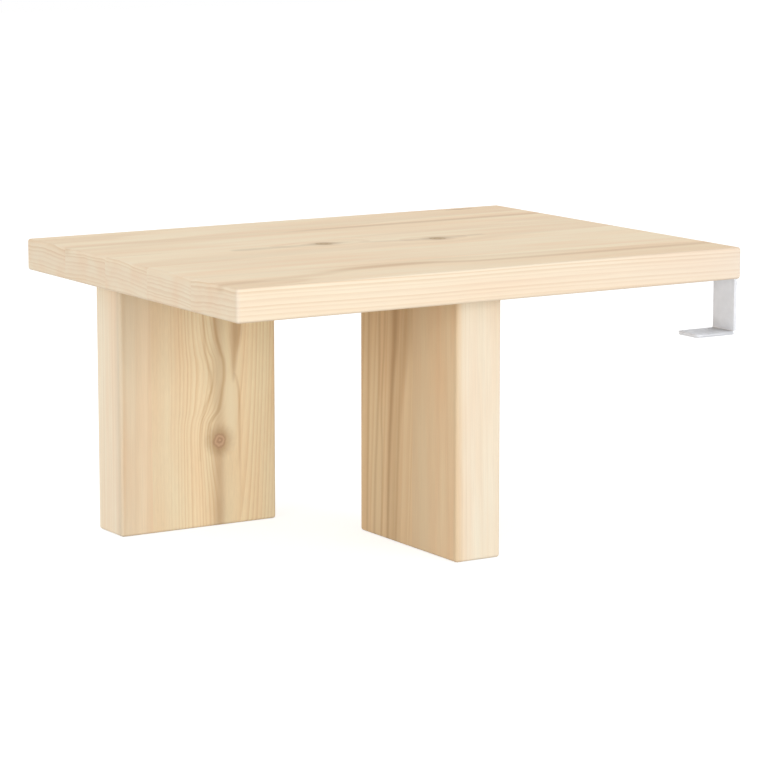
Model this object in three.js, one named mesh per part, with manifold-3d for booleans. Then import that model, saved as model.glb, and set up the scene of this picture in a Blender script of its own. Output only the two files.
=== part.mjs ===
// Low bedside table in solid pine: a top glued from staves lies on two panel legs that stand at right
// angles to each other, and two bent steel hooks at its right end clasp the side rail of a bed.
// Millimetres. +X runs to the right along the top, +Y to the back and +Z up. The origin lies on the
// floor under the middle of the top.

import * as THREE from 'three';
import { RoundedBoxGeometry } from 'three/addons/geometries/RoundedBoxGeometry.js';
import { mergeVertices } from 'three/addons/utils/BufferGeometryUtils.js';
import Module from 'manifold-3d';

// Top
const TOP_LENGTH = 505;
const TOP_DEPTH = 385;
const TOP_THICKNESS = 28;
const TOP_STAVE_COUNT = 5;

// Legs, each a panel whose broad face is seen and whose other broad face holds the cams
const LEG_HEIGHT = 229;
const LEG_WIDTH = 157;
const LEG_THICKNESS = 45;
const REAR_LEG_FROM_LEFT_END = 35;
const REAR_LEG_FROM_BACK_EDGE = 65;
const REAR_LEG_SEAM = 31;
const FRONT_LEG_FROM_LEFT_END = 231;
const FRONT_LEG_FROM_FRONT_EDGE = 35;
const FRONT_LEG_SEAM = 87;

// Softened edges of the top and the legs
const EDGE_RADIUS = 2.5;
const EDGE_STEPS = 3;

// Clearance round every piece that sits in a bore or a pocket
const FIT_GAP = 0.3;

// Fluted dowels between the legs and the top
const DOWEL_RADIUS = 4;
const DOWEL_IN_TOP = 12;
const DOWEL_IN_LEG = 23;
const DOWEL_CHAMFER = 1;
const DOWEL_FLUTES = 18;
const DOWEL_FLUTE_DEPTH = 0.35;
const DOWEL_FROM_LEG_EDGE = 18;

// Cam bolts, screwed into the top and reaching down into the cams
const BOLT_SPACING = 57;
const BOLT_THREAD_RADIUS = 2.5;
const BOLT_THREAD_LENGTH = 11;
const BOLT_THREAD_CHAMFER = 0.8;
const BOLT_COLLAR_RADIUS = 3.7;
const BOLT_COLLAR_HEIGHT = 2;
const BOLT_SHANK_RADIUS = 3;
const BOLT_NECK_RADIUS = 1.7;
const BOLT_NECK_TAPER = 1.5;
const BOLT_HEAD_RADIUS = 3.25;

// Cams, which draw the bolts down when they are turned
const CAM_FROM_LEG_TOP = 34;
const CAM_RADIUS = 7.2;
const CAM_HEIGHT = 20.5;
const CAM_BOLT_DEPTH = 17;
const CAM_CHAMFER = 0.5;
const CAM_LOCK_TURN = 190;
const CAM_SPIRAL_RISE = 1.4;
const CAM_RECESS_SPAN = 8;
const CAM_RECESS_WIDTH = 1.6;
const CAM_RECESS_DEPTH = 3;

// Hooks, bent from flat bar
const BAR_WIDTH = 25;
const BAR_THICKNESS = 3;
const BAR_BEND_RADIUS = 3;
const BAR_CORNER_RADIUS = 5;
const RAIL_GAP = 47;
const TONGUE_REACH = 43;
const HOOK_FROM_TOP_EDGE = 5.5;

// Countersunk screws that hold the hooks, set beyond the tongue so that a driver reaches them
const SCREW_LENGTH = 20;
const SCREW_RADIUS = 2;
const SCREW_HEAD_RADIUS = 3.8;
const SCREW_HEAD_HEIGHT = 2.2;
const SCREW_POINT = 4;
const SCREW_BEYOND_TONGUE = 12;
const SCREW_SPACING = 20;
const SCREW_FROM_FLANGE_TIP = 10;
const SCREW_RECESS_SPAN = 4;
const SCREW_RECESS_WIDTH = 1;
const SCREW_RECESS_DEPTH = 1.6;

// Roundness of the turned and drilled surfaces, and how far a cutter runs out of what it cuts
const ROUND_STEPS = 24;
const BEND_STEPS = 4;
const CUT_OVERRUN = 2;
const MERGE_DISTANCE = 1e-4;
const QUARTER_TURN = Math.PI / 2;

const wasm = await Module();
wasm.setup();

const wood = (color, roughness) => new THREE.MeshStandardMaterial({ color, roughness, metalness: 0 });
const metal = (color, roughness) => new THREE.MeshStandardMaterial({ color, roughness, metalness: 1 });
const topPine = wood(0xe8d6ba, 0.5);
const legPine = wood(0xe6cca9, 0.5);
const beech = wood(0xd6b184, 0.7);
const satinSteel = metal(0xd4d2d3, 0.35);
const platedSteel = metal(0xcccdcf, 0.3);
const castZinc = metal(0xb4b5b8, 0.5);

// Makes a closed surface into a solid: vertices that coincide become one, and triangles that collapse
// at a pole go.
function solidOf(geometry) {
  geometry.deleteAttribute('normal');
  geometry.deleteAttribute('uv');
  const merged = mergeVertices(geometry, MERGE_DISTANCE);
  const corners = merged.index.array;
  const kept = [];
  for (let i = 0; i < corners.length; i += 3) {
    const [a, b, c] = corners.slice(i, i + 3);
    if (a !== b && b !== c && c !== a) kept.push(a, b, c);
  }
  const vertProperties = merged.attributes.position.array;
  return new wasm.Manifold(new wasm.Mesh({ numProp: 3, vertProperties, triVerts: new Uint32Array(kept) }));
}

function meshOf(name, solid, material) {
  const { vertProperties, triVerts } = solid.getMesh();
  const geometry = new THREE.BufferGeometry();
  geometry.setAttribute('position', new THREE.BufferAttribute(vertProperties, 3));
  geometry.setIndex(new THREE.BufferAttribute(triVerts, 1));
  geometry.computeVertexNormals();
  const mesh = new THREE.Mesh(geometry, material);
  mesh.name = name;
  return mesh;
}

function subtractAll(solid, cutters) {
  return cutters.reduce((rest, cutter) => rest.subtract(cutter), solid);
}

// A box between two opposite corners
function box(low, high) {
  const size = high.clone().sub(low);
  const middle = high.clone().add(low).multiplyScalar(0.5);
  const geometry = new THREE.BoxGeometry(size.x, size.y, size.z);
  return solidOf(geometry.translate(middle.x, middle.y, middle.z));
}

// The same with every edge rounded
function roundedBox(low, high) {
  const size = high.clone().sub(low);
  const middle = high.clone().add(low).multiplyScalar(0.5);
  const geometry = new RoundedBoxGeometry(size.x, size.y, size.z, EDGE_STEPS, EDGE_RADIUS);
  return solidOf(geometry.translate(middle.x, middle.y, middle.z));
}

// A body turned about +Z from a profile of [radius, height] pairs that runs up from axis to axis
function turned(profile) {
  const points = profile.map(([radius, height]) => new THREE.Vector2(radius, height));
  return new THREE.LatheGeometry(points, ROUND_STEPS).rotateX(QUARTER_TURN);
}

// An outline in the XY plane, carried up from one height to another
function prism(outline, bottom, top) {
  const options = { depth: top - bottom, bevelEnabled: false, curveSegments: BEND_STEPS };
  return new THREE.ExtrudeGeometry(outline, options).translate(0, 0, bottom);
}

// A round cutter about +Z at a place, from a height below or above it to another
function drill(radius, place, bottom, top) {
  const profile = [[0, bottom], [radius, bottom], [radius, top], [0, top]];
  return solidOf(turned(profile).translate(place.x, place.y, place.z));
}

// Two crossed slots, the recess that a driver turns
function crossRecess(span, width, depth) {
  const arm = (x, y) => box(new THREE.Vector3(-x, -y, -CUT_OVERRUN), new THREE.Vector3(x, y, depth));
  return arm(span / 2, width / 2).add(arm(width / 2, span / 2));
}

// A point in the XY plane, at a radius and an angle
function polar(radius, angle) {
  return new THREE.Vector2(radius * Math.cos(angle), radius * Math.sin(angle));
}

// The dowel stands on its lower end at the origin; its flutes run along it and its ends are chamfered.
function dowelSolid() {
  const length = DOWEL_IN_LEG + DOWEL_IN_TOP;
  const pointsPerFlute = 4;
  const pointCount = DOWEL_FLUTES * pointsPerFlute;
  const outline = [];
  for (let i = 0; i < pointCount; i += 1) {
    const radius = i % pointsPerFlute === 0 ? DOWEL_RADIUS - DOWEL_FLUTE_DEPTH : DOWEL_RADIUS;
    outline.push(polar(radius, (2 * Math.PI * i) / pointCount));
  }
  const endRadius = DOWEL_RADIUS - DOWEL_CHAMFER;
  const envelope = DOWEL_RADIUS + FIT_GAP;
  const chamfered = turned([
    [0, 0],
    [endRadius, 0],
    [envelope, envelope - endRadius],
    [envelope, length - envelope + endRadius],
    [endRadius, length],
    [0, length],
  ]);
  return solidOf(prism(new THREE.Shape(outline), 0, length)).intersect(solidOf(chamfered));
}

// The bolt hangs from the origin, which is where its collar meets the underside of the top.
function camBoltSolid() {
  const headCentre = -CAM_FROM_LEG_TOP;
  const neckTop = headCentre + CAM_RADIUS + FIT_GAP;
  const neckJoin = Math.acos(BOLT_NECK_RADIUS / BOLT_HEAD_RADIUS);
  const headSteps = 8;
  const profile = [];
  for (let i = 0; i <= headSteps; i += 1) {
    const angle = -QUARTER_TURN + ((neckJoin + QUARTER_TURN) * i) / headSteps;
    const radius = i === 0 ? 0 : BOLT_HEAD_RADIUS * Math.cos(angle);
    profile.push([radius, headCentre + BOLT_HEAD_RADIUS * Math.sin(angle)]);
  }
  profile.push(
    [BOLT_NECK_RADIUS, neckTop],
    [BOLT_SHANK_RADIUS, neckTop + BOLT_NECK_TAPER],
    [BOLT_SHANK_RADIUS, -BOLT_COLLAR_HEIGHT],
    [BOLT_COLLAR_RADIUS, -BOLT_COLLAR_HEIGHT],
    [BOLT_COLLAR_RADIUS, 0],
    [BOLT_THREAD_RADIUS, 0],
    [BOLT_THREAD_RADIUS, BOLT_THREAD_LENGTH - BOLT_THREAD_CHAMFER],
    [BOLT_THREAD_RADIUS - BOLT_THREAD_CHAMFER, BOLT_THREAD_LENGTH],
    [0, BOLT_THREAD_LENGTH],
  );
  return solidOf(turned(profile));
}

// The cam's outer face lies at its origin and its body runs along +Z. The bolt comes in along +Y at
// CAM_BOLT_DEPTH. The head lies in a hollow, open at the inner end, whose wall winds in from the wide
// mouth where the head enters to where it is held; the neck runs in a slot through that wall.
function camSolid() {
  const body = turned([
    [0, 0],
    [CAM_RADIUS - CAM_CHAMFER, 0],
    [CAM_RADIUS, CAM_CHAMFER],
    [CAM_RADIUS, CAM_HEIGHT - CAM_CHAMFER],
    [CAM_RADIUS - CAM_CHAMFER, CAM_HEIGHT],
    [0, CAM_HEIGHT],
  ]);
  const headRoom = BOLT_HEAD_RADIUS + FIT_GAP;
  const neckRoom = BOLT_NECK_RADIUS + FIT_GAP;
  const beyond = CAM_RADIUS + CUT_OVERRUN;
  const lockTurn = THREE.MathUtils.degToRad(CAM_LOCK_TURN);
  const held = QUARTER_TURN;
  const mouth = held + lockTurn;
  const hollowFrom = CAM_BOLT_DEPTH - headRoom;
  const hollowTo = CAM_HEIGHT + CUT_OVERRUN;

  const spiral = [];
  for (let i = 0; i < ROUND_STEPS; i += 1) {
    const turn = (2 * Math.PI * i) / ROUND_STEPS;
    const wound = turn < lockTurn ? turn / lockTurn : (2 * Math.PI - turn) / (2 * Math.PI - lockTurn);
    spiral.push(polar(headRoom + CAM_SPIRAL_RISE * wound, held + turn));
  }
  const hollow = solidOf(prism(new THREE.Shape(spiral), hollowFrom, hollowTo));

  const channel = new THREE.BoxGeometry(beyond, 2 * headRoom, hollowTo - hollowFrom);
  channel.translate(beyond / 2, 0, (hollowFrom + hollowTo) / 2).rotateZ(mouth);

  const slotStart = held - Math.asin(neckRoom / headRoom);
  const slotSteps = ROUND_STEPS / 2;
  const sector = [new THREE.Vector2(0, 0)];
  for (let i = 0; i <= slotSteps; i += 1) {
    sector.push(polar(beyond, slotStart + ((mouth - slotStart) * i) / slotSteps));
  }
  const slot = prism(new THREE.Shape(sector), CAM_BOLT_DEPTH - neckRoom, CAM_BOLT_DEPTH + neckRoom);

  const recess = crossRecess(CAM_RECESS_SPAN, CAM_RECESS_WIDTH, CAM_RECESS_DEPTH);
  return subtractAll(solidOf(body), [hollow, solidOf(channel), solidOf(slot), recess]);
}

// The screw points up from the origin, where its head lies flush.
function screwSolid() {
  const body = turned([
    [0, 0],
    [SCREW_HEAD_RADIUS, 0],
    [SCREW_RADIUS, SCREW_HEAD_HEIGHT],
    [SCREW_RADIUS, SCREW_LENGTH - SCREW_POINT],
    [0, SCREW_LENGTH],
  ]);
  return solidOf(body).subtract(crossRecess(SCREW_RECESS_SPAN, SCREW_RECESS_WIDTH, SCREW_RECESS_DEPTH));
}

// What the screw needs cut for it in the flange and the wood
function screwBore(place) {
  const bore = turned([
    [0, -CUT_OVERRUN],
    [SCREW_HEAD_RADIUS + FIT_GAP, -CUT_OVERRUN],
    [SCREW_HEAD_RADIUS + FIT_GAP, 0],
    [SCREW_RADIUS + FIT_GAP, SCREW_HEAD_HEIGHT],
    [SCREW_RADIUS + FIT_GAP, SCREW_LENGTH],
    [0, SCREW_LENGTH + FIT_GAP],
  ]);
  return solidOf(bore.translate(place.x, place.y, place.z));
}

// Where a leg's dowels and cam bolts stand on its top end, in the leg's own frame
function fittingPlaces() {
  const y = LEG_THICKNESS - CAM_BOLT_DEPTH;
  const place = (x) => new THREE.Vector3(x, y, LEG_HEIGHT);
  const middle = LEG_WIDTH / 2;
  return {
    dowels: [place(DOWEL_FROM_LEG_EDGE), place(LEG_WIDTH - DOWEL_FROM_LEG_EDGE)],
    bolts: [place(middle - BOLT_SPACING / 2), place(middle + BOLT_SPACING / 2)],
  };
}

// Bores in a leg: down from its top end for the dowels and bolts, and in from its hidden face for the cams
function legBores({ dowels, bolts }) {
  const down = (radius, place, depth) => drill(radius, place, -depth, CUT_OVERRUN);
  const camBore = (place) => {
    const depth = CAM_HEIGHT + FIT_GAP;
    const cutter = new THREE.CylinderGeometry(
      CAM_RADIUS + FIT_GAP, CAM_RADIUS + FIT_GAP, depth + CUT_OVERRUN, ROUND_STEPS,
    );
    const y = LEG_THICKNESS + (CUT_OVERRUN - depth) / 2;
    return solidOf(cutter.translate(place.x, y, place.z - CAM_FROM_LEG_TOP));
  };
  return [
    ...dowels.map((place) => down(DOWEL_RADIUS + FIT_GAP, place, DOWEL_IN_LEG + FIT_GAP)),
    ...bolts.map((place) => down(BOLT_COLLAR_RADIUS + FIT_GAP, place, CAM_FROM_LEG_TOP)),
    ...bolts.map(camBore),
  ];
}

// Bores in the top for what stands on a leg, in the frame of the whole table
function topBores(leg, { dowels, bolts }) {
  const up = (radius, place, depth) => drill(radius, leg.localToWorld(place.clone()), -CUT_OVERRUN, depth);
  return [
    ...dowels.map((place) => up(DOWEL_RADIUS + FIT_GAP, place, DOWEL_IN_TOP + FIT_GAP)),
    ...bolts.map((place) => up(BOLT_THREAD_RADIUS + FIT_GAP, place, BOLT_THREAD_LENGTH + FIT_GAP)),
  ];
}

// A leg stands at the origin of its group, its width along +X and its hidden face towards +Y. Its top
// end is square, and its other edges are rounded.
function makeLeg(name, seam) {
  const leg = new THREE.Group();
  const places = fittingPlaces();
  const low = new THREE.Vector3(0, 0, 0);
  const high = new THREE.Vector3(LEG_WIDTH, LEG_THICKNESS, LEG_HEIGHT);
  const blank = roundedBox(low, high.clone().setZ(LEG_HEIGHT + CUT_OVERRUN + EDGE_RADIUS));
  const bored = subtractAll(blank, legBores(places));
  const staves = [[0, seam], [seam, LEG_WIDTH]];
  staves.forEach(([from, to], i) => {
    const stave = box(low.clone().setX(from), high.clone().setX(to));
    leg.add(meshOf(`${name}_stave_${i + 1}`, bored.intersect(stave), legPine));
  });
  places.dowels.forEach((place, i) => {
    const dowel = meshOf(`${name}_dowel_${i + 1}`, dowelSolid(), beech);
    dowel.position.copy(place).setZ(place.z - DOWEL_IN_LEG);
    leg.add(dowel);
  });
  places.bolts.forEach((place, i) => {
    const bolt = meshOf(`${name}_cam_bolt_${i + 1}`, camBoltSolid(), platedSteel);
    bolt.position.copy(place);
    leg.add(bolt);
    const cam = meshOf(`${name}_cam_${i + 1}`, camSolid(), castZinc);
    cam.position.set(place.x, LEG_THICKNESS, place.z - CAM_FROM_LEG_TOP);
    cam.rotation.x = QUARTER_TURN;
    leg.add(cam);
  });
  return leg;
}

// A hook hangs from the origin, which lies on the underside of the top at its right end, in the middle
// of the bar. The web's outer face is at x = 0 and everything else lies to the left of it.
const flangeReach = TONGUE_REACH + SCREW_BEYOND_TONGUE + SCREW_SPACING + SCREW_FROM_FLANGE_TIP;
const screwPlaces = [0, 1].map((i) => {
  const x = -TONGUE_REACH - SCREW_BEYOND_TONGUE - i * SCREW_SPACING;
  return new THREE.Vector3(x, 0, 0);
});

// The bar's shape from the side: flange, bend, web, bend and tongue
function hookProfile() {
  const outer = BAR_BEND_RADIUS + BAR_THICKNESS;
  const upper = BAR_THICKNESS - outer;
  const lower = -RAIL_GAP - BAR_THICKNESS + outer;
  const profile = new THREE.Shape();
  profile.moveTo(-flangeReach, BAR_THICKNESS);
  profile.lineTo(-outer, BAR_THICKNESS);
  profile.absarc(-outer, upper, outer, QUARTER_TURN, 0, true);
  profile.absarc(-outer, lower, outer, 0, -QUARTER_TURN, true);
  profile.lineTo(-TONGUE_REACH, -RAIL_GAP - BAR_THICKNESS);
  profile.lineTo(-TONGUE_REACH, -RAIL_GAP);
  profile.absarc(-outer, lower, BAR_BEND_RADIUS, -QUARTER_TURN, 0, false);
  profile.absarc(-outer, upper, BAR_BEND_RADIUS, 0, QUARTER_TURN, false);
  profile.lineTo(-flangeReach, 0);
  profile.closePath();
  return profile;
}

// The bar's shape from above out to a tip with rounded corners
function barPlan(reach, bottom, top) {
  const side = BAR_WIDTH / 2;
  const plan = new THREE.Shape();
  plan.moveTo(CUT_OVERRUN, -side);
  plan.lineTo(CUT_OVERRUN, side);
  const cornerX = BAR_CORNER_RADIUS - reach;
  const cornerY = side - BAR_CORNER_RADIUS;
  plan.absarc(cornerX, cornerY, BAR_CORNER_RADIUS, QUARTER_TURN, 2 * QUARTER_TURN, false);
  plan.absarc(cornerX, -cornerY, BAR_CORNER_RADIUS, 2 * QUARTER_TURN, 3 * QUARTER_TURN, false);
  plan.closePath();
  return solidOf(prism(plan, bottom, top));
}

function hookSolid() {
  const bent = prism(hookProfile(), -BAR_WIDTH / 2, BAR_WIDTH / 2).rotateX(QUARTER_TURN);
  const middle = -RAIL_GAP / 2;
  const flangePlan = barPlan(flangeReach, middle, BAR_THICKNESS + CUT_OVERRUN);
  const tonguePlan = barPlan(TONGUE_REACH, -RAIL_GAP - BAR_THICKNESS - CUT_OVERRUN, middle);
  const bar = solidOf(bent).intersect(flangePlan.add(tonguePlan));
  return subtractAll(bar, screwPlaces.map(screwBore));
}

// The shallow pocket in the underside that takes the flange flush, open at the right end
function hookPocket(hook) {
  const side = BAR_WIDTH / 2 + FIT_GAP;
  const low = new THREE.Vector3(-flangeReach - FIT_GAP, -side, -CUT_OVERRUN);
  const high = new THREE.Vector3(CUT_OVERRUN, side, BAR_THICKNESS);
  return box(low.add(hook.position), high.add(hook.position));
}

function makeHook(name, centreY) {
  const hook = new THREE.Group();
  hook.position.set(TOP_LENGTH / 2, centreY, LEG_HEIGHT);
  hook.add(meshOf(`${name}_bed_hook`, hookSolid(), satinSteel));
  screwPlaces.forEach((place, i) => {
    const screw = meshOf(`${name}_hook_screw_${i + 1}`, screwSolid(), platedSteel);
    screw.position.copy(place);
    hook.add(screw);
  });
  return hook;
}

// The top is one rounded board with all its bores and pockets, parted into staves along straight seams.
function makeTop(cutters) {
  const top = new THREE.Group();
  const low = new THREE.Vector3(-TOP_LENGTH / 2, -TOP_DEPTH / 2, LEG_HEIGHT);
  const high = new THREE.Vector3(TOP_LENGTH / 2, TOP_DEPTH / 2, LEG_HEIGHT + TOP_THICKNESS);
  const board = subtractAll(roundedBox(low, high), cutters);
  const staveWidth = TOP_DEPTH / TOP_STAVE_COUNT;
  for (let i = 0; i < TOP_STAVE_COUNT; i += 1) {
    const from = low.clone().setY(low.y + i * staveWidth);
    const to = high.clone().setY(low.y + (i + 1) * staveWidth);
    top.add(meshOf(`top_stave_${i + 1}`, board.intersect(box(from, to)), topPine));
  }
  return top;
}

const rearLeg = makeLeg('rear_leg', REAR_LEG_SEAM);
rearLeg.position.set(
  -TOP_LENGTH / 2 + REAR_LEG_FROM_LEFT_END,
  TOP_DEPTH / 2 - REAR_LEG_FROM_BACK_EDGE - LEG_THICKNESS,
  0,
);

const frontLeg = makeLeg('front_leg', FRONT_LEG_SEAM);
frontLeg.position.set(
  -TOP_LENGTH / 2 + FRONT_LEG_FROM_LEFT_END,
  -TOP_DEPTH / 2 + FRONT_LEG_FROM_FRONT_EDGE + LEG_WIDTH,
  0,
);
frontLeg.rotation.z = -QUARTER_TURN;

const hookOffset = TOP_DEPTH / 2 - HOOK_FROM_TOP_EDGE - BAR_WIDTH / 2;
const hooks = [makeHook('front', -hookOffset), makeHook('rear', hookOffset)];

const legs = [rearLeg, frontLeg];
legs.forEach((leg) => leg.updateMatrixWorld());
const legCutters = legs.flatMap((leg) => topBores(leg, fittingPlaces()));
const hookCutters = hooks.flatMap((hook) => [
  hookPocket(hook),
  ...screwPlaces.map((place) => screwBore(place.clone().add(hook.position))),
]);

const group = new THREE.Group();
group.add(makeTop([...legCutters, ...hookCutters]), ...legs, ...hooks);

export default group;
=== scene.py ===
import math
from functools import partial

import bmesh
import bpy
from mathutils import Matrix, Vector


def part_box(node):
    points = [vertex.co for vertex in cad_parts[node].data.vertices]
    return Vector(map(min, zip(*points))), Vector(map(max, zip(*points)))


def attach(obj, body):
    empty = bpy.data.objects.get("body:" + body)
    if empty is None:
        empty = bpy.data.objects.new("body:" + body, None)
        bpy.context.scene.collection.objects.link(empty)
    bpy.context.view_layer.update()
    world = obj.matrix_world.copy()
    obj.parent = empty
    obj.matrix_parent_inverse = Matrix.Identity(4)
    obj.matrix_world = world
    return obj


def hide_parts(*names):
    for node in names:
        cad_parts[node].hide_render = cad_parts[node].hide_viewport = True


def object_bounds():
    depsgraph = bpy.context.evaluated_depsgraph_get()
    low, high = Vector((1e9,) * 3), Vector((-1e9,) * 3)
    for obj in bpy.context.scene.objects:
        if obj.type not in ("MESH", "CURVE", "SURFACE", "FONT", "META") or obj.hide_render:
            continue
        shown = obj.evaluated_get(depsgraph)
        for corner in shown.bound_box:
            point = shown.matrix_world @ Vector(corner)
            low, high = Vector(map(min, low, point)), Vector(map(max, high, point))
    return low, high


bl_info = {
    "name": "Hook-on nightstand",
    "version": (1, 0, 0),
    "blender": (4, 5, 0),
    "location": "3D View > Sidebar > Nightstand",
    "description": "Models a low pine bedside table with steel bed hooks over its packed frame",
    "category": "Object",
}

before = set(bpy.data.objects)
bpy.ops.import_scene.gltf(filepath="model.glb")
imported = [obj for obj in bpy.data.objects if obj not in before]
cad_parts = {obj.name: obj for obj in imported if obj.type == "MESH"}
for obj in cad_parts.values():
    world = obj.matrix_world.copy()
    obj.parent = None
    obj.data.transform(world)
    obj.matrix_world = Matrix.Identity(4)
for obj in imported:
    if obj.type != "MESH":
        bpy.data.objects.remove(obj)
CAD_LOW, CAD_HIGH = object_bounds()

MM = 0.001
QUARTER = math.pi / 2
ROUND = 2 * math.pi

# Clearance round every piece in a bore, how far a cutter runs out of what it cuts, how near points
# are joined, and how near counts as the same place
GAP = 0.3 * MM
OVERRUN = 2 * MM
JOIN = 0.001 * MM
NEAR = 0.01 * MM

# Cam bolt: its axis runs inside the leg, its ball head lies in the cam and its thread in the top
BOLT_THREAD = 2.5 * MM
BOLT_CORE = 1.9 * MM
BOLT_PITCH = 1.6 * MM
BOLT_THREAD_LENGTH = 11 * MM
BOLT_COLLAR = 3.7 * MM
BOLT_SHANK = 3 * MM
BOLT_NECK = 1.7 * MM
BOLT_BALL = 3.25 * MM
BOLT_LENGTH_BELOW = 34 * MM

# Cam, how deep in it the bolt's axis lies, the turn that locks it, how far its hollow winds in
# meanwhile, and the flare of its bore
CAM_RADIUS = 7.2 * MM
CAM_HEIGHT = 20.5 * MM
CAM_BOLT_DEPTH = 17 * MM
CAM_LOCK = math.radians(190)
CAM_WIND = 1.4 * MM
CAM_MOUTH = 0.4 * MM

# Flat bar of the bed hooks, 5 mm wider inwards than its nodes, as the picture shows it
BAR_WIDTH = 30 * MM

# Countersunk screw
SCREW_SHANK = 2 * MM
SCREW_CORE = 1.44 * MM
SCREW_PITCH = 1.8 * MM
SCREW_HEAD = 2.2 * MM

# How much narrower a cross recess is at its bottom
CROSS_TAPER = 0.55

# Floor, lamps and camera, in metres and degrees
FLOOR_SIZE = 16
FLOOR_DROP = 0.2 * MM
FLOOR_SEEN = (0.5, 0.5, 0.5, 1)
FLOOR_GLOW = 0.72
LAMP_AIM = Vector((0, 0, 0.15))
LAMP_DISTANCE = 4
LAMP_SIZE = 1.5
CAMERA_PLACE = (-1.4684, -2.3795, 0.6084)
CAMERA_TURN = (80.296, 0, -31.743)

TOP_STAVES = [f"top_stave_{i}" for i in range(1, 6)]
LEGS = ("rear_leg", "front_leg")


# Colour and selection

def linear(hex_colour):
    """An sRGB hex colour as the linear red, green and blue that shaders take."""
    parts = [int(hex_colour[i:i + 2], 16) / 255 for i in (1, 3, 5)]
    return [p / 12.92 if p <= 0.04045 else ((p + 0.055) / 1.055) ** 2.4 for p in parts]


def deselect():
    """Leaves edit mode and selects nothing."""
    if bpy.context.object and bpy.context.object.mode != "OBJECT":
        bpy.ops.object.mode_set(mode="OBJECT")
    bpy.ops.object.select_all(action="DESELECT")


def only(obj):
    """Makes obj the one selected and active object."""
    deselect()
    obj.select_set(True)
    bpy.context.view_layer.objects.active = obj


def pick(obj, kind, test):
    """Goes into edit mode and selects the vertices or edges that pass a test."""
    only(obj)
    bpy.ops.object.mode_set(mode="EDIT")
    bpy.ops.mesh.select_mode(type=kind)
    bpy.ops.mesh.select_all(action="DESELECT")
    mesh = bmesh.from_edit_mesh(obj.data)
    for part in mesh.verts if kind == "VERT" else mesh.edges:
        if test(part):
            part.select_set(True)
    mesh.select_flush_mode()
    bmesh.update_edit_mesh(obj.data)


def edge_ends(edge):
    """The two ends of an edge as vectors."""
    return edge.verts[0].co, edge.verts[1].co


def edit_all():
    """Goes into edit mode with the whole mesh of the active object selected."""
    bpy.ops.object.mode_set(mode="EDIT")
    bpy.ops.mesh.select_all(action="SELECT")


def bevelled(obj, test, radius, segments):
    """Rounds or chamfers the edges that pass a test."""
    pick(obj, "EDGE", test)
    bpy.ops.mesh.bevel(offset=radius, segments=segments, affect="EDGES")
    bpy.ops.object.mode_set(mode="OBJECT")


def resized(obj, test, scale, centre):
    """Scales the points that pass a test about a centre."""
    pick(obj, "VERT", test)
    bpy.ops.transform.resize(value=scale, center_override=centre)
    bpy.ops.object.mode_set(mode="OBJECT")


def cut_off(place, outward):
    """Cuts the edited mesh at a plane, drops what lies beyond it and closes the cut."""
    bpy.ops.mesh.select_all(action="SELECT")
    bpy.ops.mesh.bisect(
        plane_co=place, plane_no=outward, use_fill=True, clear_outer=True, threshold=JOIN,
    )


# Starting shapes and finishing

def block(name, low, high):
    """A box between two opposite corners."""
    deselect()
    bpy.ops.mesh.primitive_cube_add(size=1, location=(low + high) / 2)
    obj = bpy.context.object
    obj.name = name
    obj.scale = high - low
    bpy.ops.object.transform_apply()
    return obj


def rod(radius, start, end, steps=64):
    """A round bar from one point to another."""
    deselect()
    run = end - start
    bpy.ops.mesh.primitive_cylinder_add(
        vertices=steps,
        radius=radius,
        depth=run.length,
        location=(start + end) / 2,
        rotation=run.to_track_quat("Z", "Y").to_euler(),
    )
    bpy.ops.object.transform_apply()
    return bpy.context.object


def drawn(name, profile):
    """A line through (radius, height) pairs in the XZ plane, drawn point by point, left in edit mode."""
    deselect()
    bpy.ops.mesh.primitive_plane_add(size=MM)
    obj = bpy.context.object
    obj.name = name
    bpy.ops.object.mode_set(mode="EDIT")
    bpy.ops.mesh.select_mode(type="VERT")
    bpy.ops.mesh.merge(type="CENTER")
    radius, height = profile[0]
    bpy.ops.transform.translate(value=(radius, 0, height))
    for next_radius, next_height in profile[1:]:
        step = (next_radius - radius, 0, next_height - height)
        bpy.ops.mesh.extrude_region_move(TRANSFORM_OT_translate={"value": step})
        radius, height = next_radius, next_height
    return obj


def sewn():
    """Joins the edited mesh where its points meet, turns its faces outwards and leaves edit mode."""
    bpy.ops.mesh.select_all(action="SELECT")
    bpy.ops.mesh.remove_doubles(threshold=JOIN)
    bpy.ops.mesh.normals_make_consistent(inside=False)
    bpy.ops.object.mode_set(mode="OBJECT")


def turned(name, profile, steps=64):
    """A closed body turned about the Z axis from (radius, height) pairs that run from axis to axis."""
    obj = drawn(name, profile)
    bpy.ops.mesh.select_all(action="SELECT")
    bpy.ops.mesh.spin(steps=steps, angle=ROUND, center=(0, 0, 0), axis=(0, 0, 1))
    sewn()
    return obj


def threaded_rod(core, crest, pitch, bottom, top):
    """A screw thread round the Z axis with sloping flanks, cut square at both ends."""
    land = 0.12 * pitch
    start = bottom - 1.7 * pitch
    obj = drawn("thread", [
        (core, start),
        (crest, start + pitch / 2 - land),
        (crest, start + pitch / 2),
        (core, start + pitch - land),
        (core, start + pitch),
    ])
    bpy.ops.object.mode_set(mode="OBJECT")
    winding = obj.modifiers.new("winding", "SCREW")
    winding.screw_offset = pitch
    winding.iterations = math.ceil((top - bottom) / pitch) + 3
    winding.steps = 24
    winding.render_steps = 24
    bpy.ops.object.modifier_apply(modifier=winding.name)
    edit_all()
    bpy.ops.mesh.remove_doubles(threshold=JOIN)
    cut_off((0, 0, bottom), (0, 0, -1))
    cut_off((0, 0, top), (0, 0, 1))
    sewn()
    return obj


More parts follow.
